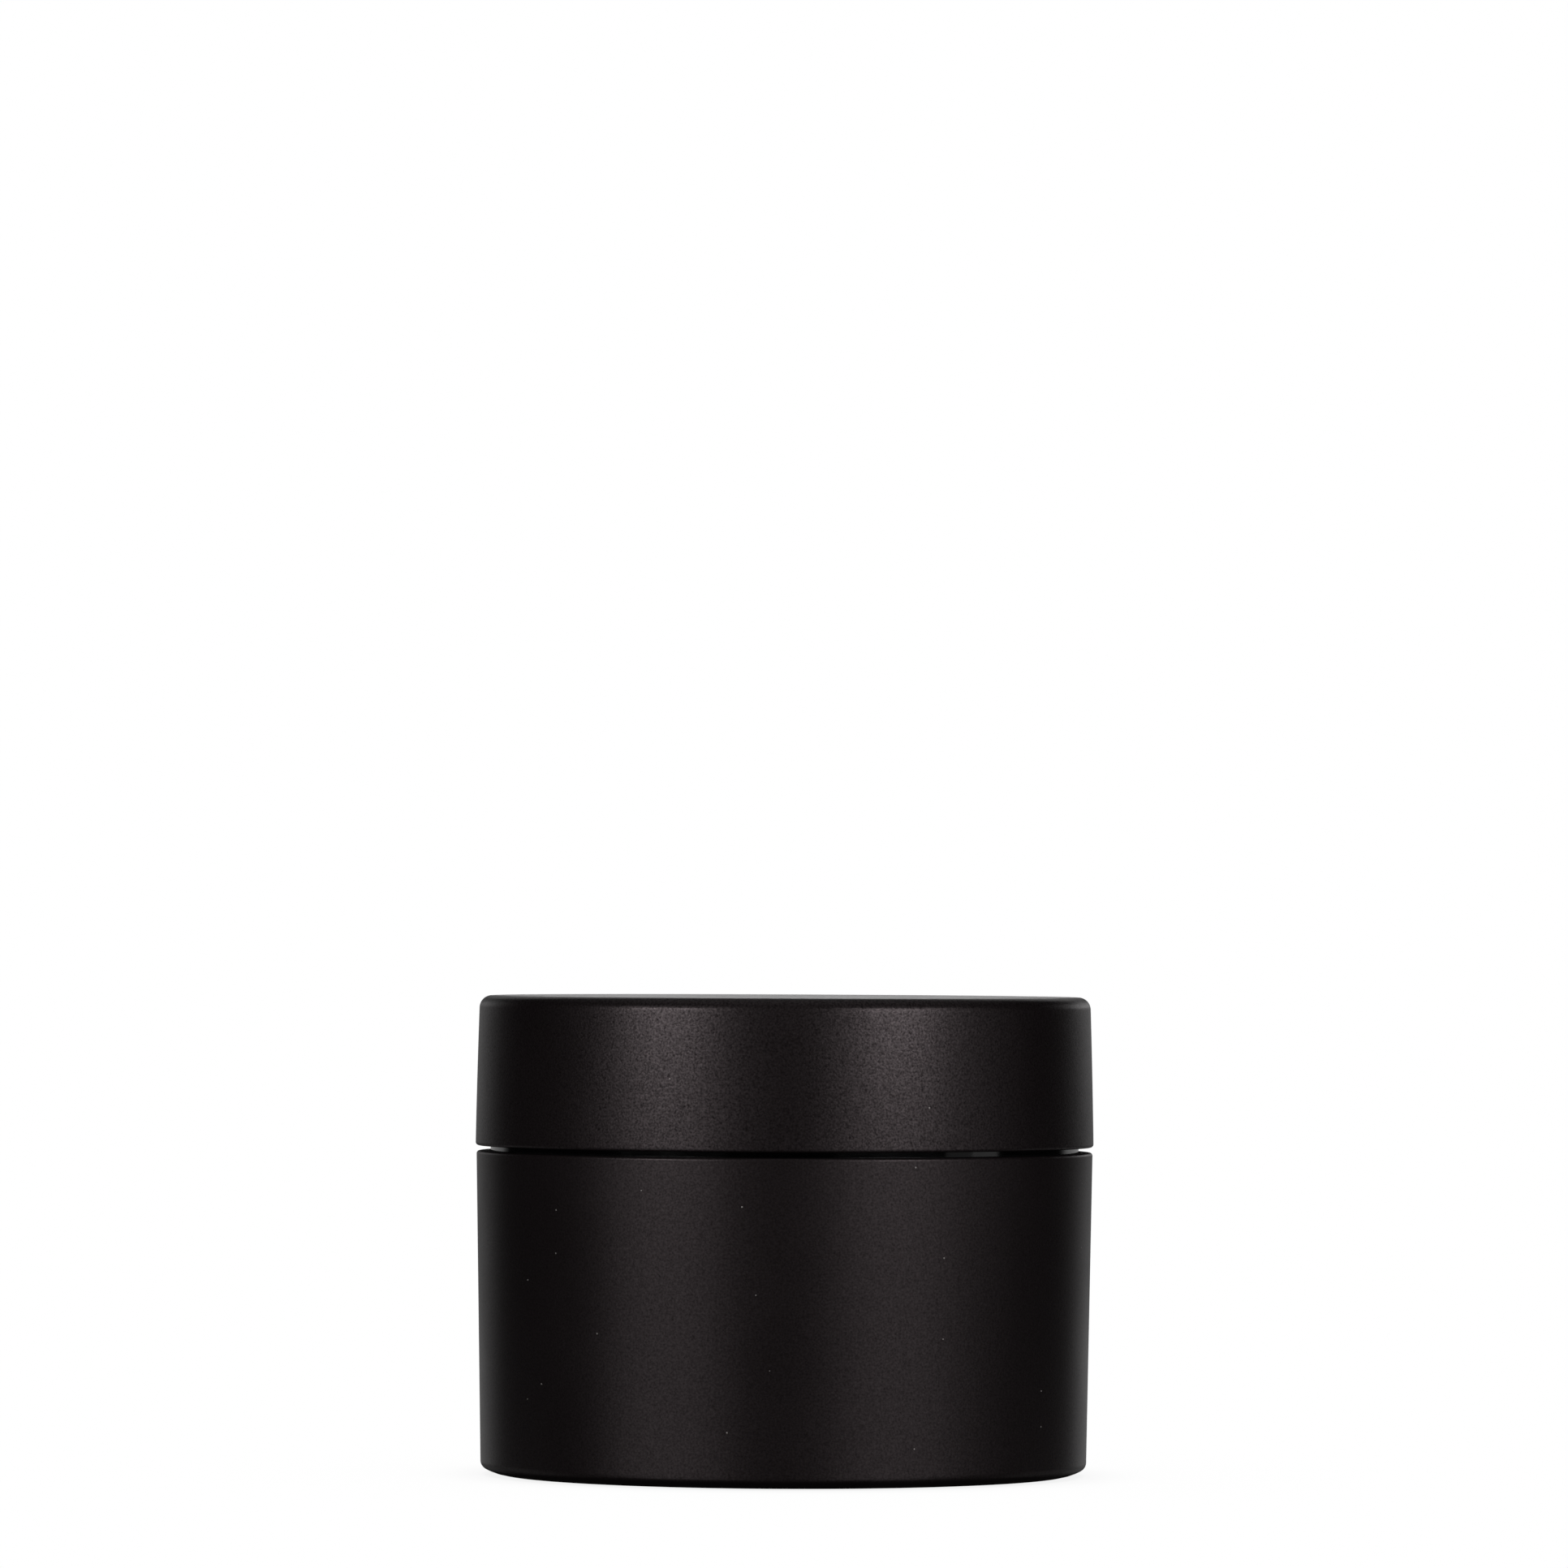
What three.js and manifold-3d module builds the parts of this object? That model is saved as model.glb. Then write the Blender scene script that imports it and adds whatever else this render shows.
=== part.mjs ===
// Round double-wall screw-lid jar, 88 mm across and 68 mm tall, in millimetres with +Z up.
// The origin is the centre of the foot, on the table. Six moulded pieces: a matte outer jar, the
// inner cup that snaps into it and carries the neck, a plug-in sealing disc, and a lid made of a
// matte shell, a threaded insert and a loose foam liner. The lid is shown screwed fully down.

import * as THREE from 'three';
import { mergeVertices } from 'three/addons/utils/BufferGeometryUtils.js';
import Module from 'manifold-3d';

const wasm = await Module();
wasm.setup();

// ---- Faceting ----
const TURN = 2 * Math.PI;
const SEGMENTS = 48;
const SMALL_FILLET = 0.6;
const FILLET_STEPS = 4;
const MERGE_TOLERANCE = 1e-5;

// ---- Whole jar ----
const BODY_TOP_Z = 45.92;
const BODY_TOP_R = 43.86;
const BODY_FOOT_R = 43.1;
const LID_EDGE_Z = 46.68;
const LID_EDGE_R = 44;
const LID_HEIGHT = 21.32;
// The lid's side leans in by LID_DRAFT and bulges by LID_CROWN from its lower edge to its top.
const LID_DRAFT = 0.35;
const LID_CROWN = 0.18;

// ---- Outer jar ----
const FOOT_RECESS = 0.7;
const FOOT_INNER_R = 37.2;
const FOOT_STEP = 0.6;
// The foot turns up in two bends: a wide shallow one, then a tight one into the side.
const FOOT_BEND_R = 40.8;
const FOOT_BEND_FILLET = 5.5;
const FOOT_CORNER_Z = 1.05;
const FOOT_CORNER_FILLET = 1.25;
const RIM_FILLET = 0.42;
const RIM_INNER_R = 42.46;
const OUTER_FLOOR_Z = 2.3;
const OUTER_FLOOR_R = 41.6;
const OUTER_FLOOR_FILLET = 1.6;
const SNAP_Z = 42;
const GROOVE_R = 42.85;
const GROOVE_HALF = 0.4;
const GROOVE_MOUTH_HALF = 0.7;
const RIB_COUNT = 8;
const RIB_INNER_R = 41;
const RIB_OUTER_R = 42.8;
const RIB_WIDTH = 1.2;
const RIB_TOP_Z = 39.3;
const RIB_FOOT_Z = 2;
const LUG_INNER_R = 41.35;
const LUG_WIDTH = 0.9;
const LUG_TOP_Z = 40.9;

// ---- Inner cup ----
const CUP_RIM_Z = 61;
const CUP_RIM_R = 38.6;
const CUP_FLOOR_Z = 9;
const CUP_FLOOR_R = 36.3;
const CUP_FLOOR_FILLET = 5;
const CUP_UNDER_Z = 7.6;
const CUP_UNDER_R = 37.6;
const CUP_UNDER_FILLET = 6;
const CUP_WAIST_R = 39.4;
const CHANNEL_TOP_Z = 45.4;
const SKIRT_INNER_R = 41.2;
const SKIRT_OUTER_R = 42.2;
const SKIRT_FOOT_Z = 39.4;
const SKIRT_CHAMFER = 0.3;
const BEAD_R = 42.62;
const BEAD_HALF = 0.1;
const BEAD_FOOT_HALF = 0.5;
const NOTCH_WIDTH = 1.5;
const NOTCH_TOP_Z = 41.2;
const SHOULDER_Z = 45.47;
const COLLAR_R = 41.87;
const COLLAR_TOP_Z = 47.2;
const NECK_R = 40.05;
const NECK_FILLET = 0.3;

// ---- Thread: three starts, right-handed ----
const THREAD_STARTS = 3;
const THREAD_LEAD = 12;
const THREAD_STEP = TURN / SEGMENTS;
const RIDGE_ROOT_WIDTH = 2;
const RIDGE_CREST_WIDTH = 0.9;
const RIDGE_EMBED = 0.35;
const RIDGE_RUN_OUT = 0.12;
const RIDGE_END_HEIGHT = 0.1;
const NECK_RIDGE_CREST_R = 41;
const NECK_RIDGE_START_Z = 52.4;
const NECK_RIDGE_SPAN = TURN / 2;
const LID_RIDGE_CREST_R = 40.35;
const LID_RIDGE_SPAN = TURN * 0.375;
const LID_RIDGE_START_ANGLE = -TURN / 45;
// The lid's ridges ride this far under the neck's ridges.
const THREAD_OFFSET = 1.45;

// ---- Sealing disc ----
const DISC_FLANGE_Z = 61.05;
const DISC_TOP_Z = 61.8;
const DISC_FLANGE_R = 39.9;
const PLUG_TOP_R = 38.4;
const PLUG_FOOT_R = 38.2;
const PLUG_FOOT_Z = 58;
const PLUG_WALL = 0.9;
const WEB_TOP_Z = 58.9;
const GRIP_LENGTH = 24;
const GRIP_TOP_Z = 61.4;
const GRIP_STEM = 1;
const GRIP_HEAD = 2;
const GRIP_HEAD_HEIGHT = 0.9;

// ---- Lid, heights above the lid's lower edge ----
const SHELL_CEILING_Z = 19.72;
const SHELL_CEILING_R = 42.25;
const SHELL_CEILING_FILLET = 0.8;
const SHELL_MOUTH_R = 42.9;
const SHELL_MOUTH_Z = 1.17;
const SHELL_BEAD_R = 42.5;
const SHELL_BEAD_TOP_Z = 0.77;
const SHELL_BEAD_FOOT_Z = 0.52;
const SHELL_LIP_R = 42.8;
const SHELL_TOP_FILLET = 1.75;
const SHELL_EDGE_FILLET = 0.45;
const INSERT_FOOT_Z = 0.92;
const INSERT_WALL_R = 41.25;
const INSERT_OUTER_FOOT_R = 42.65;
const INSERT_OUTER_TOP_R = 42.1;
const INSERT_CEILING_Z = 16.27;
const INSERT_TOP_Z = 17.42;
const INSERT_TOP_FILLET = 0.8;
const INSERT_CHAMFER = 0.25;
const LINER_SEAT_R = 40.95;
const LINER_BEAD_R = 40.5;
const LINER_BEAD_TOP_Z = 14.87;
const LINER_BEAD_FOOT_Z = 14.72;
const LINER_BEAD_RAMP = 0.3;
const WALL_SHOULDER_Z = 13.62;
const RING_INNER_R = 30;
const RING_OUTER_R = 31.2;
const RING_TOP_Z = 19.52;
const KEY_COUNT = 6;
const KEY_WIDTH = 2;
const KEY_INNER_R = 28.6;
const KEY_OUTER_R = 32.6;
const KEY_FOOT_Z = 17.82;
const KEY_TOP_Z = 20.02;
const SLOT_WIDTH = 2.8;
const SLOT_FLOOR_Z = 17.52;
const LINER_R = 40.8;
const LINER_FOOT_Z = 15.22;
const LINER_TOP_Z = 16.17;

// ---- Materials ----
const mattePlastic = { color: 0x1b1a19, roughness: 0.5, metalness: 0 };
const glossPlastic = { color: 0x111113, roughness: 0.14, metalness: 0 };
const discPlastic = { color: 0xe9e7df, roughness: 0.35, metalness: 0 };
const foam = { color: 0xf1efe8, roughness: 0.85, metalness: 0 };

// ---- Outlines ----

// The points of one rounded corner: an arc that meets both straight sides.
function cornerArc(before, corner, after) {
  const [x, y, fillet] = corner;
  const toBefore = new THREE.Vector2(before[0] - x, before[1] - y).normalize();
  const toAfter = new THREE.Vector2(after[0] - x, after[1] - y).normalize();
  const halfAngle = Math.acos(toBefore.dot(toAfter)) / 2;
  const inward = toBefore.clone().add(toAfter).normalize();
  const centre = inward.multiplyScalar(fillet / Math.sin(halfAngle)).add(new THREE.Vector2(x, y));
  const tangent = fillet / Math.tan(halfAngle);
  const start = new THREE.Vector2(x, y).addScaledVector(toBefore, tangent).sub(centre);
  const sweep = Math.PI - 2 * halfAngle;
  const side = Math.sign(toBefore.cross(start));
  const steps = fillet < SMALL_FILLET ? 1 : FILLET_STEPS;
  const points = [];
  for (let i = 0; i <= steps; i += 1) {
    const arm = start.clone().rotateAround(new THREE.Vector2(), (side * sweep * i) / steps);
    points.push(arm.add(centre));
  }
  return points;
}

// An outline from corners [radius, height, fillet]. It starts and ends on the axis.
function outline(corners) {
  const points = [];
  corners.forEach((corner, i) => {
    if (corner[2]) {
      points.push(...cornerArc(corners[i - 1], corner, corners[i + 1]));
    } else {
      points.push(new THREE.Vector2(corner[0], corner[1]));
    }
  });
  return points;
}

// ---- Solids ----

function solidFrom(geometry) {
  geometry.deleteAttribute('normal');
  geometry.deleteAttribute('uv');
  const merged = mergeVertices(geometry, MERGE_TOLERANCE);
  const corners = merged.index.array;
  const triangles = [];
  for (let i = 0; i < corners.length; i += 3) {
    const [a, b, c] = corners.slice(i, i + 3);
    // Triangles that close up to a line on the axis are left out.
    if (a !== b && b !== c && c !== a) {
      triangles.push(a, b, c);
    }
  }
  const mesh = new wasm.Mesh({
    numProp: 3,
    vertProperties: new Float32Array(merged.attributes.position.array),
    triVerts: new Uint32Array(triangles),
  });
  return new wasm.Manifold(mesh);
}

function turned(corners) {
  const geometry = new THREE.LatheGeometry(outline(corners), SEGMENTS);
  geometry.rotateX(Math.PI / 2);
  return solidFrom(geometry);
}

// A box from radius r0 to r1 and height z0 to z1, centred on a radius at the given angle.
function radialBox(r0, r1, z0, z1, width, angle) {
  const geometry = new THREE.BoxGeometry(r1 - r0, width, z1 - z0);
  geometry.translate((r0 + r1) / 2, 0, (z0 + z1) / 2);
  geometry.rotateZ(angle);
  return solidFrom(geometry);
}

function aroundAxis(count, make) {
  return Array.from({ length: count }, (_, i) => make((TURN * i) / count));
}

// One thread ridge: a trapezoid swept up a helix, running out to nothing at both ends. It
// stands out from rootR to crestR, or inwards when crestR is the smaller.
function threadRidge(rootR, crestR, startZ, startAngle, span) {
  const outward = Math.sign(crestR - rootR);
  const section = new THREE.Shape([
    new THREE.Vector2(0, -RIDGE_ROOT_WIDTH / 2),
    new THREE.Vector2(1, -RIDGE_CREST_WIDTH / 2),
    new THREE.Vector2(1, RIDGE_CREST_WIDTH / 2),
    new THREE.Vector2(0, RIDGE_ROOT_WIDTH / 2),
  ]);
  const steps = Math.round(span / THREAD_STEP);
  const geometry = new THREE.ExtrudeGeometry(section, { depth: 1, steps, bevelEnabled: false });
  const position = geometry.attributes.position;
  const point = new THREE.Vector3();
  for (let i = 0; i < position.count; i += 1) {
    point.fromBufferAttribute(position, i);
    const along = outward > 0 ? point.z : 1 - point.z;
    const angle = along * span;
    const toEnd = Math.min(along, 1 - along) / RIDGE_RUN_OUT;
    const swell = RIDGE_END_HEIGHT + (1 - RIDGE_END_HEIGHT) * Math.min(1, toEnd);
    const height = Math.abs(crestR - rootR) + RIDGE_EMBED;
    const radius = rootR + outward * (point.x * swell * height - RIDGE_EMBED);
    const z = startZ - point.y + (THREAD_LEAD * angle) / TURN;
    position.setXYZ(
      i,
      radius * Math.cos(startAngle + angle),
      radius * Math.sin(startAngle + angle),
      z,
    );
  }
  return solidFrom(geometry);
}

function join(solid, pieces) {
  return pieces.reduce((whole, piece) => whole.add(piece), solid);
}

function cut(solid, pieces) {
  return pieces.reduce((whole, piece) => whole.subtract(piece), solid);
}

// ---- Pieces ----

function outerJar() {
  const body = turned([
    [0, FOOT_RECESS],
    [FOOT_INNER_R - FOOT_STEP, FOOT_RECESS],
    [FOOT_INNER_R, 0],
    [FOOT_BEND_R, 0, FOOT_BEND_FILLET],
    [BODY_FOOT_R, FOOT_CORNER_Z, FOOT_CORNER_FILLET],
    [BODY_TOP_R, BODY_TOP_Z, RIM_FILLET],
    [RIM_INNER_R, BODY_TOP_Z],
    [RIM_INNER_R, SNAP_Z + GROOVE_MOUTH_HALF],
    [GROOVE_R, SNAP_Z + GROOVE_HALF],
    [GROOVE_R, SNAP_Z - GROOVE_HALF],
    [RIM_INNER_R, SNAP_Z - GROOVE_MOUTH_HALF],
    [OUTER_FLOOR_R, OUTER_FLOOR_Z, OUTER_FLOOR_FILLET],
    [0, OUTER_FLOOR_Z],
  ]);
  // The inner cup's skirt stands on the ribs, and the lugs on them keep the cup from turning.
  const ribs = aroundAxis(RIB_COUNT, (angle) =>
    radialBox(RIB_INNER_R, RIB_OUTER_R, RIB_FOOT_Z, RIB_TOP_Z, RIB_WIDTH, angle));
  const lugs = aroundAxis(RIB_COUNT, (angle) =>
    radialBox(LUG_INNER_R, RIB_OUTER_R, RIB_FOOT_Z, LUG_TOP_Z, LUG_WIDTH, angle));
  return join(body, [...ribs, ...lugs]);
}

function innerCup() {
  const cup = turned([
    [0, CUP_UNDER_Z],
    [CUP_UNDER_R, CUP_UNDER_Z, CUP_UNDER_FILLET],
    [CUP_WAIST_R, CHANNEL_TOP_Z],
    [SKIRT_INNER_R, CHANNEL_TOP_Z],
    [SKIRT_INNER_R, SKIRT_FOOT_Z],
    [SKIRT_OUTER_R, SKIRT_FOOT_Z, SKIRT_CHAMFER],
    [SKIRT_OUTER_R, SNAP_Z - BEAD_FOOT_HALF],
    [BEAD_R, SNAP_Z - BEAD_HALF],
    [BEAD_R, SNAP_Z + BEAD_HALF],
    [SKIRT_OUTER_R, SNAP_Z + BEAD_FOOT_HALF],
    [SKIRT_OUTER_R, SHOULDER_Z],
    [COLLAR_R, SHOULDER_Z],
    [COLLAR_R, COLLAR_TOP_Z, NECK_FILLET],
    [NECK_R, COLLAR_TOP_Z],
    [NECK_R, CUP_RIM_Z, NECK_FILLET],
    [CUP_RIM_R, CUP_RIM_Z, NECK_FILLET],
    [CUP_FLOOR_R, CUP_FLOOR_Z, CUP_FLOOR_FILLET],
    [0, CUP_FLOOR_Z],
  ]);
  const notches = aroundAxis(RIB_COUNT, (angle) =>
    radialBox(RIB_INNER_R, BODY_TOP_R, RIB_FOOT_Z, NOTCH_TOP_Z, NOTCH_WIDTH, angle));
  const ridges = aroundAxis(THREAD_STARTS, (angle) =>
    threadRidge(NECK_R, NECK_RIDGE_CREST_R, NECK_RIDGE_START_Z, angle, NECK_RIDGE_SPAN));
  return join(cut(cup, notches), ridges);
}

function sealingDisc() {
  const tray = turned([
    [0, PLUG_FOOT_Z],
    [PLUG_FOOT_R, PLUG_FOOT_Z, NECK_FILLET],
    [PLUG_TOP_R, DISC_FLANGE_Z],
    [DISC_FLANGE_R, DISC_FLANGE_Z],
    [DISC_FLANGE_R, DISC_TOP_Z],
    [PLUG_TOP_R - PLUG_WALL, DISC_TOP_Z],
    [PLUG_FOOT_R - PLUG_WALL, WEB_TOP_Z],
    [0, WEB_TOP_Z],
  ]);
  // A moulded finger bar stands on the web: a thin stem with a wider rail along its top.
  const stemFoot = (PLUG_FOOT_Z + WEB_TOP_Z) / 2;
  const railFoot = GRIP_TOP_Z - GRIP_HEAD_HEIGHT;
  const halfLength = GRIP_LENGTH / 2;
  const stem = radialBox(-halfLength, halfLength, stemFoot, railFoot, GRIP_STEM, 0);
  const rail = radialBox(-halfLength, halfLength, railFoot, GRIP_TOP_Z, GRIP_HEAD, 0);
  return join(tray, [stem, rail]);
}

function lidShell() {
  const sideR = (t) => LID_EDGE_R - LID_DRAFT * t - LID_CROWN * t * t;
  const shell = turned([
    [0, SHELL_CEILING_Z],
    [SHELL_CEILING_R, SHELL_CEILING_Z, SHELL_CEILING_FILLET],
    [SHELL_MOUTH_R, SHELL_MOUTH_Z],
    [SHELL_BEAD_R, SHELL_BEAD_TOP_Z],
    [SHELL_BEAD_R, SHELL_BEAD_FOOT_Z],
    [SHELL_LIP_R, 0],
    [LID_EDGE_R, 0, SHELL_EDGE_FILLET],
    [sideR(1 / 3), LID_HEIGHT / 3],
    [sideR(2 / 3), (LID_HEIGHT * 2) / 3],
    [sideR(1), LID_HEIGHT, SHELL_TOP_FILLET],
    [0, LID_HEIGHT],
  ]);
  const keys = aroundAxis(KEY_COUNT, (angle) =>
    radialBox(KEY_INNER_R, KEY_OUTER_R, KEY_FOOT_Z, KEY_TOP_Z, KEY_WIDTH, angle));
  return join(shell, keys);
}

function lidInsert() {
  const cap = turned([
    [0, INSERT_CEILING_Z],
    [LINER_SEAT_R, INSERT_CEILING_Z],
    [LINER_SEAT_R, LINER_BEAD_TOP_Z + LINER_BEAD_RAMP],
    [LINER_BEAD_R, LINER_BEAD_TOP_Z],
    [LINER_BEAD_R, LINER_BEAD_FOOT_Z],
    [LINER_SEAT_R, LINER_BEAD_FOOT_Z - LINER_BEAD_RAMP],
    [INSERT_WALL_R, WALL_SHOULDER_Z],
    [INSERT_WALL_R, INSERT_FOOT_Z],
    [INSERT_OUTER_FOOT_R, INSERT_FOOT_Z, INSERT_CHAMFER],
    [INSERT_OUTER_TOP_R, INSERT_TOP_Z, INSERT_TOP_FILLET],
    [RING_OUTER_R, INSERT_TOP_Z],
    [RING_OUTER_R, RING_TOP_Z],
    [RING_INNER_R, RING_TOP_Z],
    [RING_INNER_R, INSERT_TOP_Z],
    [0, INSERT_TOP_Z],
  ]);
  // The shell's keys drop into slots in the insert's upper ring, so the two turn as one.
  const slots = aroundAxis(KEY_COUNT, (angle) =>
    radialBox(KEY_INNER_R, KEY_OUTER_R, SLOT_FLOOR_Z, KEY_TOP_Z, SLOT_WIDTH, angle));
  const riseAtStart = (THREAD_LEAD * LID_RIDGE_START_ANGLE) / TURN;
  const startZ = NECK_RIDGE_START_Z - THREAD_OFFSET - LID_EDGE_Z + riseAtStart;
  const ridges = aroundAxis(THREAD_STARTS, (angle) => threadRidge(
    INSERT_WALL_R, LID_RIDGE_CREST_R, startZ, angle + LID_RIDGE_START_ANGLE, LID_RIDGE_SPAN));
  return join(cut(cap, slots), ridges);
}

function lidLiner() {
  return turned([
    [0, LINER_FOOT_Z],
    [LINER_R, LINER_FOOT_Z],
    [LINER_R, LINER_TOP_Z],
    [0, LINER_TOP_Z],
  ]);
}

// ---- Assembly ----

function piece(name, solid, look) {
  const { vertProperties, triVerts } = solid.getMesh();
  const geometry = new THREE.BufferGeometry();
  geometry.setAttribute('position', new THREE.BufferAttribute(vertProperties, 3));
  geometry.setIndex(new THREE.BufferAttribute(triVerts, 1));
  geometry.computeVertexNormals();
  const mesh = new THREE.Mesh(geometry, new THREE.MeshStandardMaterial(look));
  mesh.name = name;
  return mesh;
}

const base = new THREE.Group();
base.add(piece('outer_jar', outerJar(), mattePlastic));
base.add(piece('inner_cup', innerCup(), glossPlastic));
base.add(piece('sealing_disc', sealingDisc(), discPlastic));

const lid = new THREE.Group();
lid.position.z = LID_EDGE_Z;
lid.add(piece('lid_liner', lidLiner(), foam));
lid.add(piece('lid_insert', lidInsert(), glossPlastic));
lid.add(piece('lid_shell', lidShell(), mattePlastic));

const jar = new THREE.Group();
jar.add(base, lid);

export default jar;
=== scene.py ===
"""The looks of a round double-wall screw-lid jar: matte black outside, glossy black neck.

Every piece is turned from its own outline, in millimetres, and then written in metres. Outer
sizes and heights come from the frame; wall thicknesses and fillets are set below.
"""
import math

import bmesh
import bpy
import numpy as np
from mathutils import Matrix, Vector


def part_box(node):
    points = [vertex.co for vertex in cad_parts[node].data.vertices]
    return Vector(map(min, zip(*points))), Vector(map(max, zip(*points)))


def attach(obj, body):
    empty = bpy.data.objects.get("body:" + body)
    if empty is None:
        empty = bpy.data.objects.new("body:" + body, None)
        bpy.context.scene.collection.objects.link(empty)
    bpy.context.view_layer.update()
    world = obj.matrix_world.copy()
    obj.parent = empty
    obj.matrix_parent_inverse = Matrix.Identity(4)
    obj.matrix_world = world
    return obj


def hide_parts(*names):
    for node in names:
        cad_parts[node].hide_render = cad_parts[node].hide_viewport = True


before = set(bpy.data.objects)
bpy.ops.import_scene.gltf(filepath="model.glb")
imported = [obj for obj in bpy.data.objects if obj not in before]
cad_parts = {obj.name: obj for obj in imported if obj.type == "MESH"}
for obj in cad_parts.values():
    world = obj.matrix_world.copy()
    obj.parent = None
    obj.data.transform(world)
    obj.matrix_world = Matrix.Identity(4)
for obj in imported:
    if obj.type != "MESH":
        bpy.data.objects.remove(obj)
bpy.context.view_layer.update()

MM = 0.001
TURN = 2 * math.pi
SEGMENTS = 384
SHARP_ANGLE = math.radians(60)

# ---- Sizes from the frame, mm ----


def top_of(node):
    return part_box(node)[1].z / MM


def foot_of(node):
    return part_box(node)[0].z / MM


BODY_TOP_Z = top_of("outer_jar")
LID_EDGE_Z = foot_of("lid_shell")
LID_TOP_Z = top_of("lid_shell")
LID_HEIGHT = LID_TOP_Z - LID_EDGE_Z
CUP_UNDER_Z = foot_of("inner_cup")
CUP_RIM_Z = top_of("inner_cup")
PLUG_FOOT_Z = foot_of("sealing_disc")
DISC_TOP_Z = top_of("sealing_disc")
LINER_FOOT_Z = foot_of("lid_liner")
LINER_TOP_Z = top_of("lid_liner")
LINER_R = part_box("lid_liner")[1].x / MM
INSERT_FOOT_Z = foot_of("lid_insert")
RING_TOP_Z = top_of("lid_insert")
DISC_FLANGE_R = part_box("sealing_disc")[1].x / MM
BEAD_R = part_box("inner_cup")[1].x / MM

# ---- Sizes of the mouldings, mm ----

BODY_TOP_R = 43.86
BODY_FOOT_R = 43.1
LID_EDGE_R = 44.0
LID_DRAFT = 0.35
LID_CROWN = 0.18
RIM_INNER_R = 42.46
SNAP_Z = 42.0
NECK_R = 40.05
COLLAR_R = 41.87
COLLAR_TOP_Z = 47.2
SHOULDER_Z = 45.47
SKIRT_R = 42.2
CUP_RIM_R = 38.6
CUP_FLOOR_Z = 9.0
INSERT_WALL_R = 41.25
LUGS = 8
KEYS = 6
KEY_R = (28.6, 32.6)

THREAD_LEAD = 12.0
THREAD_STARTS = 3
RIDGE_ROOT = 1.9
RIDGE_CREST = 0.8
RIDGE_RUN_OUT = 0.12
RIDGE_ROW = 0.08
NECK_RIDGE = {"height": 0.95, "z": 52.4, "angle": 0.0, "span": TURN / 2}
LID_START_ANGLE = -TURN / 45
LID_RIDGE_DROP = 1.45
LID_RIDGE = {
    "height": 0.9,
    "z": NECK_RIDGE["z"] - LID_RIDGE_DROP + THREAD_LEAD * LID_START_ANGLE / TURN,
    "angle": LID_START_ANGLE,
    "span": TURN * 0.375,
}

# ---- Outlines: corners (radius, height, fillet), material on the left of the way round ----

ARC_STEP = math.radians(9)
SMALL_FILLET = 0.3
SMALL_ARC_STEP = math.radians(18)
HOLD = 0.06


def corner_arc(before, corner, after):
    """The points of one filleted corner, with a holding point on each straight side."""
    p, fillet = np.array(corner[:2], float), corner[2]
    u = np.array(before[:2], float) - p
    v = np.array(after[:2], float) - p
    room = min(np.linalg.norm(u), np.linalg.norm(v))
    u, v = u / np.linalg.norm(u), v / np.linalg.norm(v)
    half = math.acos(np.clip(u @ v, -1, 1)) / 2
    tangent = fillet / math.tan(half)
    middle = (u + v) / np.linalg.norm(u + v)
    centre = p + middle * fillet / math.sin(half)
    sweep = math.pi - 2 * half
    step = SMALL_ARC_STEP if fillet <= SMALL_FILLET else ARC_STEP
    steps = max(2, math.ceil(sweep / step))
    start = p + u * tangent - centre
    side = math.copysign(1, u[0] * start[1] - u[1] * start[0])
    points = []
    if tangent + HOLD < room / 2:
        points.append(p + u * (tangent + HOLD))
    for i in range(steps + 1):
        a = side * sweep * i / steps
        c, s = math.cos(a), math.sin(a)
        points.append(centre + np.array((start[0] * c - start[1] * s, start[0] * s + start[1] * c)))
    if tangent + HOLD < room / 2:
        points.append(p + v * (tangent + HOLD))
    return points


def outline(corners):
    points = []
    for i, corner in enumerate(corners):
        if len(corner) > 2:
            points += corner_arc(corners[i - 1], corner, corners[i + 1])
        else:
            points.append(np.array(corner, float))
    return points


def with_rows(points, radius, ridge):
    """Cuts the wall at this radius into rows where a thread is to rise from it."""
    low = ridge["z"] - RIDGE_ROOT / 2
    high = ridge["z"] + THREAD_LEAD * ridge["span"] / TURN + RIDGE_ROOT / 2
    rows = np.linspace(low, high, math.ceil((high - low) / RIDGE_ROW))
    out = [points[0]]
    for a, b in zip(points, points[1:]):
        if abs(a[0] - radius) < 1e-6 and abs(b[0] - radius) < 1e-6:
            inside = [z for z in rows if min(a[1], b[1]) < z < max(a[1], b[1])]
            inside.sort(reverse=bool(b[1] < a[1]))
            out += [np.array((radius, z)) for z in inside]
        out.append(b)
    return out


def smooth(t):
    return t * t * (3 - 2 * t)


def ridge_height(angle, z, ridge):
    """How far a three-start thread stands off its wall at each angle and height."""
    height = np.zeros(np.broadcast(angle, z).shape)
    for start in range(THREAD_STARTS):
        turned = np.mod(angle - ridge["angle"] - TURN * start / THREAD_STARTS, TURN)
        along = turned / ridge["span"]
        off_centre = np.abs(z - ridge["z"] - THREAD_LEAD * turned / TURN)
        flank = (RIDGE_ROOT / 2 - off_centre) / ((RIDGE_ROOT - RIDGE_CREST) / 2)
        run_out = np.minimum(along, 1 - along) / RIDGE_RUN_OUT
        rise = smooth(np.clip(flank, 0, 1)) * smooth(np.clip(run_out, 0, 1))
        height = np.maximum(height, rise)
    return height * ridge["height"]


# ---- Meshes ----


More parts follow.
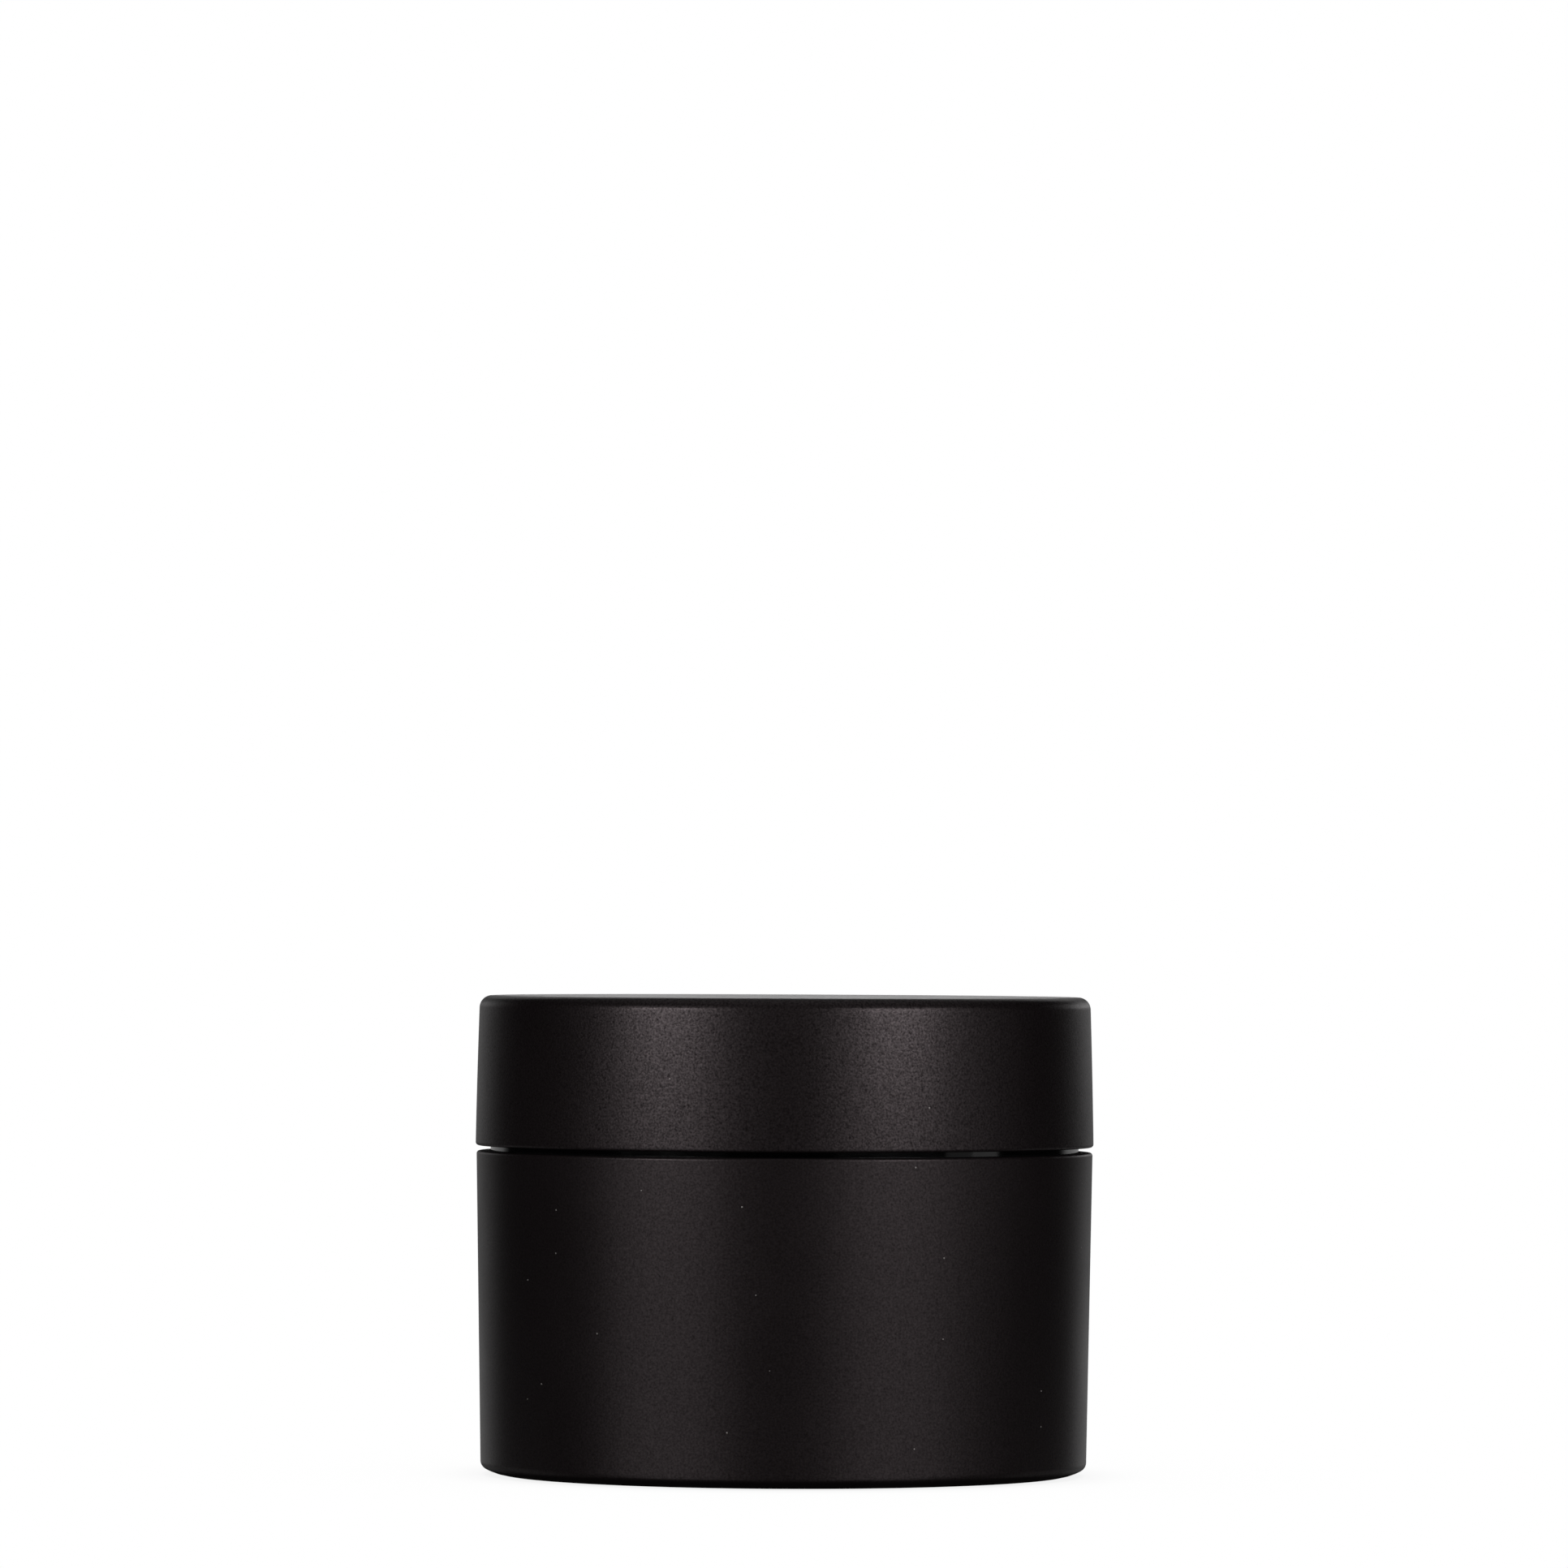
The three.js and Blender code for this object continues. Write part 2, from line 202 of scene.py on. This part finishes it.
def turned_mesh(name, points, wall_r=None, ridge=None, outward=1):
    """Revolves an outline that starts and ends on the axis. A ridge rises from wall_r."""
    points = np.array(points, float)
    r, z = points[:, 0], points[:, 1]
    angle = np.arange(SEGMENTS) * TURN / SEGMENTS
    radius = np.repeat(r[:, None], SEGMENTS, axis=1)
    if ridge:
        wall = np.abs(r - wall_r) < 1e-6
        radius[wall] += outward * ridge_height(angle[None, :], z[wall][:, None], ridge)
    rings = np.empty((len(points), SEGMENTS, 3))
    rings[..., 0] = radius * np.cos(angle)
    rings[..., 1] = radius * np.sin(angle)
    rings[..., 2] = z[:, None]
    inner = rings[1:-1].reshape(-1, 3)
    verts = np.vstack([[0, 0, z[0]], inner, [0, 0, z[-1]]]) * MM
    last = len(verts) - 1
    column = np.arange(SEGMENTS)
    after = np.roll(column, -1)
    faces = [(0, 1 + b, 1 + a) for a, b in zip(column, after)]
    for k in range(len(points) - 3):
        low, high = 1 + k * SEGMENTS, 1 + (k + 1) * SEGMENTS
        faces += zip(low + column, low + after, high + after, high + column)
    top = 1 + (len(points) - 3) * SEGMENTS
    faces += [(top + a, top + b, last) for a, b in zip(column, after)]
    mesh = bpy.data.meshes.new(name)
    mesh.from_pydata(verts.tolist(), [], [tuple(int(i) for i in f) for f in faces])
    mesh.validate()
    piece = bpy.data.objects.new(name, mesh)
    bpy.context.scene.collection.objects.link(piece)
    return piece


def block(bm, r0, r1, z0, z1, width, angle, round_by):
    """A box with rounded edges, from radius r0 to r1 and height z0 to z1, on a radius."""
    size = Matrix.Diagonal(((r1 - r0) * MM, width * MM, (z1 - z0) * MM, 1))
    place = Matrix.Rotation(angle, 4, "Z") @ Matrix.Translation(
        ((r0 + r1) / 2 * MM, 0, (z0 + z1) / 2 * MM)
    )
    made = bmesh.ops.create_cube(bm, size=1, matrix=place @ size)
    edges = list({e for v in made["verts"] for e in v.link_edges})
    bmesh.ops.bevel(
        bm, geom=edges, offset=round_by * MM, segments=3, profile=0.5, affect="EDGES"
    )


def blocks(count, r, z, width, round_by=0.15):
    """The same box repeated round the axis. r and z are each a (low, high) pair."""
    bm = bmesh.new()
    for i in range(count):
        block(bm, *r, *z, width, TURN * i / count, round_by)
    mesh = bpy.data.meshes.new("blocks")
    bm.to_mesh(mesh)
    bm.free()
    tool = bpy.data.objects.new("blocks", mesh)
    bpy.context.scene.collection.objects.link(tool)
    return tool


def carve(piece, operation, tool):
    modifier = piece.modifiers.new("carve", "BOOLEAN")
    modifier.operation = operation
    modifier.solver = "EXACT"
    modifier.object = tool
    graph = bpy.context.evaluated_depsgraph_get()
    mesh = bpy.data.meshes.new_from_object(piece.evaluated_get(graph), depsgraph=graph)
    mesh.name = piece.name
    piece.modifiers.clear()
    piece.data = mesh
    bpy.data.objects.remove(tool)


def settle(piece, body, node, material):
    """Shades a finished piece, gives it its material and sets it in the frame."""
    piece.data.materials.clear()
    piece.data.materials.append(material)
    piece.data.shade_smooth()
    piece.data.set_sharp_from_angle(angle=SHARP_ANGLE)
    normals = piece.modifiers.new("normals", "WEIGHTED_NORMAL")
    normals.keep_sharp = True
    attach(piece, body)
    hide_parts(node)
    return piece


# ---- Pieces ----


def outer_jar():
    piece = turned_mesh("jar_wall_moulding", outline([
        (0, 0.5),
        (0.75, 0.5, 0.2),
        (0.95, 0.95, 0.12),
        (3.6, 0.95, 0.3),
        (4.3, 0.7, 0.3),
        (36.6, 0.7, 0.25),
        (37.2, 0, 0.25),
        (40.8, 0, 5.5),
        (BODY_FOOT_R, 1.05, 1.25),
        (BODY_TOP_R, BODY_TOP_Z, 0.42),
        (RIM_INNER_R, BODY_TOP_Z, 0.15),
        (RIM_INNER_R, SNAP_Z + 0.7, 0.1),
        (42.85, SNAP_Z + 0.4, 0.1),
        (42.85, SNAP_Z - 0.4, 0.1),
        (RIM_INNER_R, SNAP_Z - 0.7, 0.1),
        (41.6, 2.3, 1.6),
        (0, 2.3),
    ]))
    ribs = blocks(LUGS, r=(41.0, 42.8), z=(2.0, 39.3), width=1.2)
    carve(piece, "UNION", ribs)
    lugs = blocks(LUGS, r=(41.35, 42.8), z=(38.8, 40.9), width=0.9)
    carve(piece, "UNION", lugs)
    return piece


def inner_cup():
    neck_wall = outline([
        (0, CUP_UNDER_Z),
        (37.6, CUP_UNDER_Z, 6.0),
        (39.4, 45.4, 0.4),
        (41.2, 45.4, 0.2),
        (41.2, 39.4, 0.15),
        (SKIRT_R, 39.4, 0.3),
        (SKIRT_R, SNAP_Z - 0.5, 0.1),
        (BEAD_R, SNAP_Z, 0.15),
        (SKIRT_R, SNAP_Z + 0.5, 0.1),
        (SKIRT_R, SHOULDER_Z, 0.1),
        (COLLAR_R, SHOULDER_Z, 0.05),
        (COLLAR_R, COLLAR_TOP_Z, 0.25),
        (NECK_R, COLLAR_TOP_Z, 0.3),
        (NECK_R, CUP_RIM_Z, 0.35),
        (CUP_RIM_R, CUP_RIM_Z, 0.35),
        (36.3, CUP_FLOOR_Z, 5.0),
        (3.0, CUP_FLOOR_Z, 0.5),
        (2.0, CUP_FLOOR_Z + 0.12, 0.5),
        (0, CUP_FLOOR_Z + 0.12),
    ])
    rows = with_rows(neck_wall, NECK_R, NECK_RIDGE)
    piece = turned_mesh("cup_and_neck_moulding", rows, NECK_R, NECK_RIDGE)
    notches = blocks(LUGS, r=(40.6, 43.4), z=(38.0, 41.2), width=1.5)
    carve(piece, "DIFFERENCE", notches)
    return piece


def sealing_disc():
    piece = turned_mesh("sealing_disc_moulding", outline([
        (0, PLUG_FOOT_Z),
        (38.2, PLUG_FOOT_Z, 0.35),
        (38.28, 59.3, 0.1),
        (38.42, 59.7, 0.15),
        (38.33, 60.1, 0.1),
        (38.4, 61.05, 0.12),
        (DISC_FLANGE_R, 61.05, 0.15),
        (DISC_FLANGE_R, DISC_TOP_Z, 0.25),
        (37.5, DISC_TOP_Z, 0.3),
        (37.3, 58.9, 0.5),
        (20.0, 58.9, 0.4),
        (19.6, 59.05, 0.4),
        (0, 59.05),
    ]))
    web = blocks(1, r=(-11.9, 11.9), z=(58.4, 60.9), width=1.0, round_by=0.3)
    carve(piece, "UNION", web)
    finger_bar = blocks(1, r=(-12.0, 12.0), z=(60.5, 61.4), width=2.0, round_by=0.35)
    carve(piece, "UNION", finger_bar)
    return piece


def lid_liner():
    return turned_mesh("foam_liner_sheet", outline([
        (0, LINER_FOOT_Z),
        (37.6, LINER_FOOT_Z, 0.8),
        (38.3, LINER_FOOT_Z + 0.06, 0.8),
        (39.6, LINER_FOOT_Z + 0.06, 0.8),
        (40.3, LINER_FOOT_Z, 0.3),
        (LINER_R, LINER_FOOT_Z, 0.12),
        (LINER_R, LINER_TOP_Z, 0.12),
        (0, LINER_TOP_Z),
    ]))


def lid_insert():
    ceiling, roof = LID_EDGE_Z + 16.27, LID_EDGE_Z + 17.42
    bead = LID_EDGE_Z + 14.82
    points = outline([
        (0, ceiling),
        (40.95, ceiling, 0.1),
        (40.95, bead + 0.35, 0.1),
        (40.5, bead, 0.15),
        (40.95, bead - 0.4, 0.1),
        (INSERT_WALL_R, LID_EDGE_Z + 13.62, 0.3),
        (INSERT_WALL_R, INSERT_FOOT_Z, 0.2),
        (42.65, INSERT_FOOT_Z, 0.25),
        (42.1, roof, 0.8),
        (31.2, roof, 0.3),
        (31.2, RING_TOP_Z, 0.2),
        (30.0, RING_TOP_Z, 0.2),
        (30.0, roof, 0.3),
        (0, roof),
    ])
    rows = with_rows(points, INSERT_WALL_R, LID_RIDGE)
    piece = turned_mesh("threaded_insert_moulding", rows, INSERT_WALL_R, LID_RIDGE, outward=-1)
    slot_floor = LID_EDGE_Z + 17.52
    slots = blocks(KEYS, r=KEY_R, z=(slot_floor, LID_TOP_Z), width=2.8)
    carve(piece, "DIFFERENCE", slots)
    return piece


def lid_shell():
    def side_r(t):
        return LID_EDGE_R - LID_DRAFT * t - LID_CROWN * t * t

    ceiling = LID_TOP_Z - 1.6
    side = [(side_r(t), LID_EDGE_Z + LID_HEIGHT * t) for t in np.linspace(0.1, 0.88, 14)]
    piece = turned_mesh("lid_shell_moulding", outline([
        (0, ceiling),
        (42.25, ceiling, 0.8),
        (42.9, LID_EDGE_Z + 1.17, 0.1),
        (42.5, LID_EDGE_Z + 0.65, 0.1),
        (42.8, LID_EDGE_Z, 0.15),
        (LID_EDGE_R, LID_EDGE_Z, 0.45),
        *side,
        (side_r(1), LID_TOP_Z, 1.75),
        (0, LID_TOP_Z),
    ]))
    key_foot = LID_EDGE_Z + 17.82
    keys = blocks(KEYS, r=KEY_R, z=(key_foot, ceiling + 0.4), width=2.0)
    carve(piece, "UNION", keys)
    return piece


# ---- Materials, sizes in mm ----

DUST_CELL = 2.0
DUST_RADIUS = 0.13


class Nodes:
    """Builds a node tree one node at a time. Positions are metres in the frame."""

    def __init__(self, tree):
        self.tree = tree
        tree.nodes.clear()

    def add(self, kind, values=None, **options):
        node = self.tree.nodes.new(kind)
        for key, value in options.items():
            setattr(node, key, value)
        for key, value in (values or {}).items():
            if isinstance(value, bpy.types.NodeSocket):
                self.tree.links.new(value, node.inputs[key])
            else:
                node.inputs[key].default_value = value
        return node

    def math(self, operation, a, b=0.0, clamp=False):
        node = self.add("ShaderNodeMath", {0: a, 1: b}, operation=operation, use_clamp=clamp)
        return node.outputs[0]

    def ramp(self, value, low, high, to_low=0.0, to_high=1.0):
        values = {
            "Value": value, "From Min": low, "From Max": high,
            "To Min": to_low, "To Max": to_high,
        }
        node = self.add("ShaderNodeMapRange", values, interpolation_type="SMOOTHSTEP")
        return node.outputs["Result"]

    def noise(self, where, size_mm, detail=2.0, rough=0.5):
        values = {
            "Vector": where, "Scale": 1 / (size_mm * MM), "Detail": detail, "Roughness": rough,
        }
        return self.add("ShaderNodeTexNoise", values).outputs["Fac"]


def mix_colour(n, share, a, b):
    node = n.add("ShaderNodeMix", data_type="RGBA")
    factor, first, second = node.inputs[0], node.inputs[6], node.inputs[7]
    for socket, value in ((factor, share), (first, a), (second, b)):
        if isinstance(value, bpy.types.NodeSocket):
            n.tree.links.new(value, socket)
        else:
            socket.default_value = value
    return node.outputs[2]


def new_material(name):
    material = bpy.data.materials.new(name)
    material.use_nodes = True
    n = Nodes(material.node_tree)
    where = n.add("ShaderNodeTexCoord").outputs["Object"]
    return material, n, where


def close_material(n, values, height, depth_mm):
    """Adds the surface: a Principled shader with a bump of this depth."""
    bump = n.add("ShaderNodeBump", {"Height": height, "Strength": 1.0, "Distance": depth_mm * MM})
    shader = n.add("ShaderNodeBsdfPrincipled", {**values, "Normal": bump.outputs["Normal"]})
    n.add("ShaderNodeOutputMaterial", {"Surface": shader.outputs["BSDF"]})


def dust(n, where, share):
    """1 on small specks, at most one to a cell, on this share of the cells."""
    cells = n.add("ShaderNodeTexVoronoi", {"Vector": where, "Scale": 1 / (DUST_CELL * MM)})
    chosen = n.add("ShaderNodeSeparateColor", {"Color": cells.outputs["Color"]})
    picked = n.math("LESS_THAN", chosen.outputs[0], share)
    edge = DUST_RADIUS / DUST_CELL
    spot = n.ramp(cells.outputs["Distance"], edge, 0.7 * edge)
    return n.math("MULTIPLY", spot, picked)


def matte_black(name, grain_shine, grain_depth_mm, dusty):
    """Fine-grained black polypropylene, with dust in this share of the dust cells."""
    material, n, where = new_material(name)
    grain = n.noise(where, 0.3, detail=2.0, rough=0.55)
    smudge = n.noise(where, 14.0, detail=3.0)
    specks = dust(n, where, dusty)
    tone = mix_colour(n, smudge, (0.0070, 0.0052, 0.0055, 1), (0.0090, 0.0068, 0.0072, 1))
    tone = mix_colour(n, specks, tone, (0.38, 0.36, 0.35, 1))
    curvature = n.add("ShaderNodeNewGeometry").outputs["Pointiness"]
    edge = n.ramp(curvature, 0.52, 0.6)
    rough = n.ramp(smudge, 0.3, 0.7, 0.37, 0.4)
    rough = n.math("SUBTRACT", rough, n.math("MULTIPLY", edge, 0.05))
    shine = n.math("ADD", n.math("MULTIPLY", grain, grain_shine), 0.5 - grain_shine / 2)
    values = {
        "Base Color": tone, "Roughness": rough, "IOR": 1.5,
        "Specular IOR Level": shine, "Specular Tint": (1.0, 0.85, 0.885, 1),
    }
    close_material(n, values, grain, grain_depth_mm)
    return material


def gloss_black():
    material, n, where = new_material("gloss_black_mould_finish")
    flow = n.noise(where, 9.0, detail=2.0)
    fine = n.noise(where, 0.5, detail=1.0)
    tone = mix_colour(n, flow, (0.004, 0.004, 0.0044, 1), (0.006, 0.006, 0.0065, 1))
    rough = n.ramp(flow, 0.3, 0.7, 0.07, 0.12)
    height = n.math("ADD", n.math("MULTIPLY", flow, 0.8), n.math("MULTIPLY", fine, 0.15))
    close_material(n, {"Base Color": tone, "Roughness": rough, "IOR": 1.5}, height, 0.01)
    return material


def natural_white():
    material, n, where = new_material("natural_polyethylene")
    cloud = n.noise(where, 11.0, detail=3.0)
    fine = n.noise(where, 0.45, detail=2.0)
    tone = mix_colour(n, cloud, (0.83, 0.81, 0.785, 1), (0.90, 0.885, 0.865, 1))
    rough = n.ramp(cloud, 0.3, 0.7, 0.32, 0.44)
    values = {
        "Base Color": tone, "Roughness": rough, "IOR": 1.51,
        "Subsurface Weight": 0.25, "Subsurface Radius": (0.9, 0.85, 0.75),
        "Subsurface Scale": 1.2 * MM,
    }
    close_material(n, values, fine, 0.008)
    return material


def liner_foam():
    material, n, where = new_material("liner_foam_cells")
    cells = n.add("ShaderNodeTexVoronoi", {"Vector": where, "Scale": 1 / (0.42 * MM)})
    cloud = n.noise(where, 6.0, detail=2.0)
    tone = mix_colour(n, cloud, (0.82, 0.81, 0.77, 1), (0.89, 0.88, 0.85, 1))
    rough = n.ramp(cells.outputs["Distance"], 0.0, 0.7, 0.68, 0.9)
    close_material(n, {"Base Color": tone, "Roughness": rough}, cells.outputs["Distance"], 0.05)
    return material


# ---- Stage: camera, lights and floor, in metres; the sensor and lens in mm ----

CAMERA_DISTANCE = 1.478
CAMERA_HEIGHT = 0.078
CAMERA_PITCH = math.radians(0.785)
CAMERA_ROLL = math.radians(0.24)
CAMERA_SIDE = -0.0003
SENSOR = 36.0
LENS = 238.1
PALE = 1.0

# BACKDROP_HALF and BACKDROP_FULL are angles either side of straight behind the jar. The other
# limits of backdrop and sky are heights of a unit direction: 0 is level, 1 is straight up.
BACKDROP_HALF = math.radians(43)
BACKDROP_FULL = 0.75 * BACKDROP_HALF
BACKDROP_TOP = 0.22
BACKDROP_FOOT = -0.14
BACKDROP_FULL_BELOW = -0.1
BACKDROP_LIGHT = 0.42
AMBIENT_LIGHT = 0.004
SKY_LIGHT = 0.22
SKY_FROM = 0.65
SKY_FULL = 0.95

# How far the floor's painted contact shadow reaches, and how dark it is painted, close in and wide
CONTACT_REACH = 0.012
SHADE_REACH = 0.07
CONTACT_SHADE = 0.9
WIDE_SHADE = 0.97

OVERHEAD_HEIGHT = 0.7
OVERHEAD_SIZE = 0.8
OVERHEAD_LIGHT = 4.0

# Two stacks of softboxes put one band of light on each half of the wall. A band stands at a
# share of the wall's half width, and the mirror law gives its stack's azimuth.
STACK_DISTANCE = 0.4
STACK_WIDTH = 0.3
STRIP_DISTANCE = 0.2
STRIP_WIDTH = 0.08
LEFT_BAND = -0.385
RIGHT_BAND = 0.365

# part of a stack, distance, low edge, high edge, width, radiance; both sides are alike
STACK = (
    ("high", STACK_DISTANCE, 0.05, 0.25, STACK_WIDTH, 0.45),
    ("low", STACK_DISTANCE, -0.15, 0.02, STACK_WIDTH, 0.5),
    ("under", STACK_DISTANCE, -0.40, -0.18, STACK_WIDTH, 0.5),
    ("strip", STRIP_DISTANCE, 0.09, 0.11, STRIP_WIDTH, 10.0),
)

# name, azimuth from the camera in degrees, distance, low edge, high edge, width, radiance
PANELS = (
    ("side_fill", 70.0, 0.5, -0.10, 0.18, 0.12, 0.15),
    ("collar_streak", 82.0, 0.5, 0.015, 0.055, 0.11, 0.36),
    ("rim_left", -150.0, 0.3, -0.10, 0.01, 0.12, 0.12),
    ("rim_right", 150.0, 0.3, -0.10, 0.01, 0.12, 0.2),
    ("foot_left", -115.0, 0.4, -0.30, -0.03, 0.25, 0.08),
    ("foot_right", 115.0, 0.4, -0.30, -0.03, 0.25, 0.08),
    ("back_left", -150.0, 0.6, 0.10, 0.22, 0.2, 0.4),
    ("back_right", 150.0, 0.6, 0.10, 0.22, 0.25, 0.75),
    ("back_top", 180.0, 0.6, 0.12, 0.22, 0.12, 1.5),
    ("back_high", 180.0, 0.6, 0.22, 0.6, 0.5, 0.4),
)


def mirror_azimuth(share, distance):
    """Where a light at this distance stands, in degrees, to be seen at this share of the wall."""
    radius = BODY_TOP_R * MM
    lean = math.asin(share)
    reach = math.sqrt(distance ** 2 - (radius * math.sin(lean)) ** 2) - radius * math.cos(lean)
    across = radius * math.sin(lean) + reach * math.sin(2 * lean)
    toward = radius * math.cos(lean) + reach * math.cos(2 * lean)
    return math.degrees(math.atan2(across, toward))


def make_camera():
    data = bpy.data.cameras.new("camera")
    data.sensor_width = SENSOR
    data.lens = LENS
    data.clip_start, data.clip_end = 0.01, 20
    camera = bpy.data.objects.new("camera", data)
    bpy.context.scene.collection.objects.link(camera)
    aim = Matrix.Rotation(math.pi / 2 + CAMERA_PITCH, 4, "X") @ Matrix.Rotation(CAMERA_ROLL, 4, "Z")
    camera.matrix_world = Matrix.Translation((CAMERA_SIDE, -CAMERA_DISTANCE, CAMERA_HEIGHT)) @ aim
    bpy.context.scene.camera = camera
    return camera


def make_rig(camera):
    """An empty that turns with the camera, so that every side is lit as the front is."""
    rig = bpy.data.objects.new("light_rig", None)
    bpy.context.scene.collection.objects.link(rig)
    follow = rig.constraints.new("COPY_ROTATION")
    follow.target = camera
    follow.use_x = follow.use_y = False
    return rig


def softbox(rig, name, azimuth, distance, low, high, width, radiance):
    """An upright panel that faces the axis, from height low to height high."""
    data = bpy.data.lights.new(name, "AREA")
    data.shape = "RECTANGLE"
    data.size, data.size_y = width, high - low
    data.energy = 4 * width * (high - low) * radiance
    lamp = bpy.data.objects.new(name, data)
    bpy.context.scene.collection.objects.link(lamp)
    lamp.parent = rig
    a = math.radians(azimuth)
    back = Vector((math.sin(a), -math.cos(a), 0))
    lamp.location = back * distance + Vector((0, 0, (low + high) / 2))
    lamp.rotation_mode = "QUATERNION"
    lamp.rotation_quaternion = back.to_track_quat("Z", "Y")
    lamp.visible_camera = False


def overhead_light(receivers):
    """A soft light from above for the white pieces alone, which show only when the jar is open."""
    data = bpy.data.lights.new("overhead", "AREA")
    data.size = OVERHEAD_SIZE
    data.energy = 4 * OVERHEAD_SIZE ** 2 * OVERHEAD_LIGHT
    lamp = bpy.data.objects.new("overhead", data)
    bpy.context.scene.collection.objects.link(lamp)
    lamp.location.z = OVERHEAD_HEIGHT
    lamp.visible_camera = False
    lit = bpy.data.collections.new("white_pieces")
    for piece in receivers:
        lit.objects.link(piece)
    lamp.light_linking.receiver_collection = lit


def make_world(rig):
    """Pale to the camera. The jar's surfaces see a bright backdrop, with dark round the camera."""
    world = bpy.data.worlds.new("studio")
    bpy.context.scene.world = world
    world.use_nodes = True
    n = Nodes(world.node_tree)
    way = n.add("ShaderNodeTexCoord", object=rig).outputs["Object"]
    axis = n.add("ShaderNodeSeparateXYZ", {"Vector": way})
    aside = n.math("ABSOLUTE", n.math("ARCTAN2", axis.outputs["X"], axis.outputs["Y"]))
    middle = n.ramp(aside, BACKDROP_HALF, BACKDROP_FULL)
    below_top = n.ramp(axis.outputs["Z"], BACKDROP_TOP, BACKDROP_FULL_BELOW)
    above_floor = n.ramp(axis.outputs["Z"], BACKDROP_FOOT, 0.0)
    upright = n.math("MULTIPLY", below_top, above_floor)
    glow = n.math("MULTIPLY", n.math("MULTIPLY", middle, upright), BACKDROP_LIGHT)
    sky = n.ramp(axis.outputs["Z"], SKY_FROM, SKY_FULL, AMBIENT_LIGHT, SKY_LIGHT)
    light = n.math("ADD", glow, sky)
    seen = n.add("ShaderNodeLightPath").outputs["Is Camera Ray"]
    to_camera = n.math("MULTIPLY", seen, PALE)
    to_rest = n.math("MULTIPLY", n.math("SUBTRACT", 1.0, seen), light)
    strength = n.math("ADD", to_camera, to_rest)
    shine = n.add("ShaderNodeBackground", {"Color": (1, 1, 1, 1), "Strength": strength})
    n.add("ShaderNodeOutputWorld", {"Surface": shine.outputs["Background"]})


def openness(n, reach, darkest):
    """The floor's painted shade: 1 where nothing stands within reach, down to the darkest value
    where all is closed in.
    """
    near = n.add("ShaderNodeAmbientOcclusion", {"Distance": reach}, samples=16)
    return n.ramp(near.outputs["AO"], 0, 1, darkest, 1.0)


def make_floor():
    """A pale glowing floor with a painted soft contact shadow: its glow is darkened where the jar
    closes it in. Only the camera sees it.
    """
    bm = bmesh.new()
    bmesh.ops.create_grid(bm, x_segments=1, y_segments=1, size=4)
    mesh = bpy.data.meshes.new("floor")
    bm.to_mesh(mesh)
    bm.free()
    floor = bpy.data.objects.new("floor", mesh)
    bpy.context.scene.collection.objects.link(floor)
    floor.location.z = -0.0001
    material = bpy.data.materials.new("pale_floor")
    material.use_nodes = True
    n = Nodes(material.node_tree)
    # Painted contact shadow: the floor's glow is darkened close to the jar and, more faintly,
    # further out
    near = openness(n, CONTACT_REACH, CONTACT_SHADE)
    wide = openness(n, SHADE_REACH, WIDE_SHADE)
    strength = n.math("MULTIPLY", n.math("MULTIPLY", near, wide), PALE)
    glow = n.add("ShaderNodeEmission", {"Color": (1, 1, 1, 1), "Strength": strength})
    n.add("ShaderNodeOutputMaterial", {"Surface": glow.outputs["Emission"]})
    mesh.materials.append(material)
    floor.visible_glossy = floor.visible_diffuse = floor.visible_shadow = False


# ---- The jar ----

body_matte = matte_black("matte_black_body_grain", 1.0, 0.011, 0.1)
lid_matte = matte_black("matte_black_lid_grain", 1.6, 0.02, 0.04)
gloss = gloss_black()
settle(outer_jar(), "jar", "outer_jar", body_matte)
settle(inner_cup(), "jar", "inner_cup", gloss)
disc = settle(sealing_disc(), "jar", "sealing_disc", natural_white())
liner = settle(lid_liner(), "liner", "lid_liner", liner_foam())
settle(lid_insert(), "lid", "lid_insert", gloss)
settle(lid_shell(), "lid", "lid_shell", lid_matte)

camera = make_camera()
rig = make_rig(camera)
for side, band in (("left", LEFT_BAND), ("right", RIGHT_BAND)):
    for part, distance, *size_and_radiance in STACK:
        azimuth = mirror_azimuth(band, distance)
        softbox(rig, f"{side}_{part}", azimuth, distance, *size_and_radiance)
for panel in PANELS:
    softbox(rig, *panel)
overhead_light((disc, liner))
make_world(rig)
make_floor()

scene = bpy.context.scene
scene.view_settings.view_transform = "Standard"
scene.view_settings.look = "None"
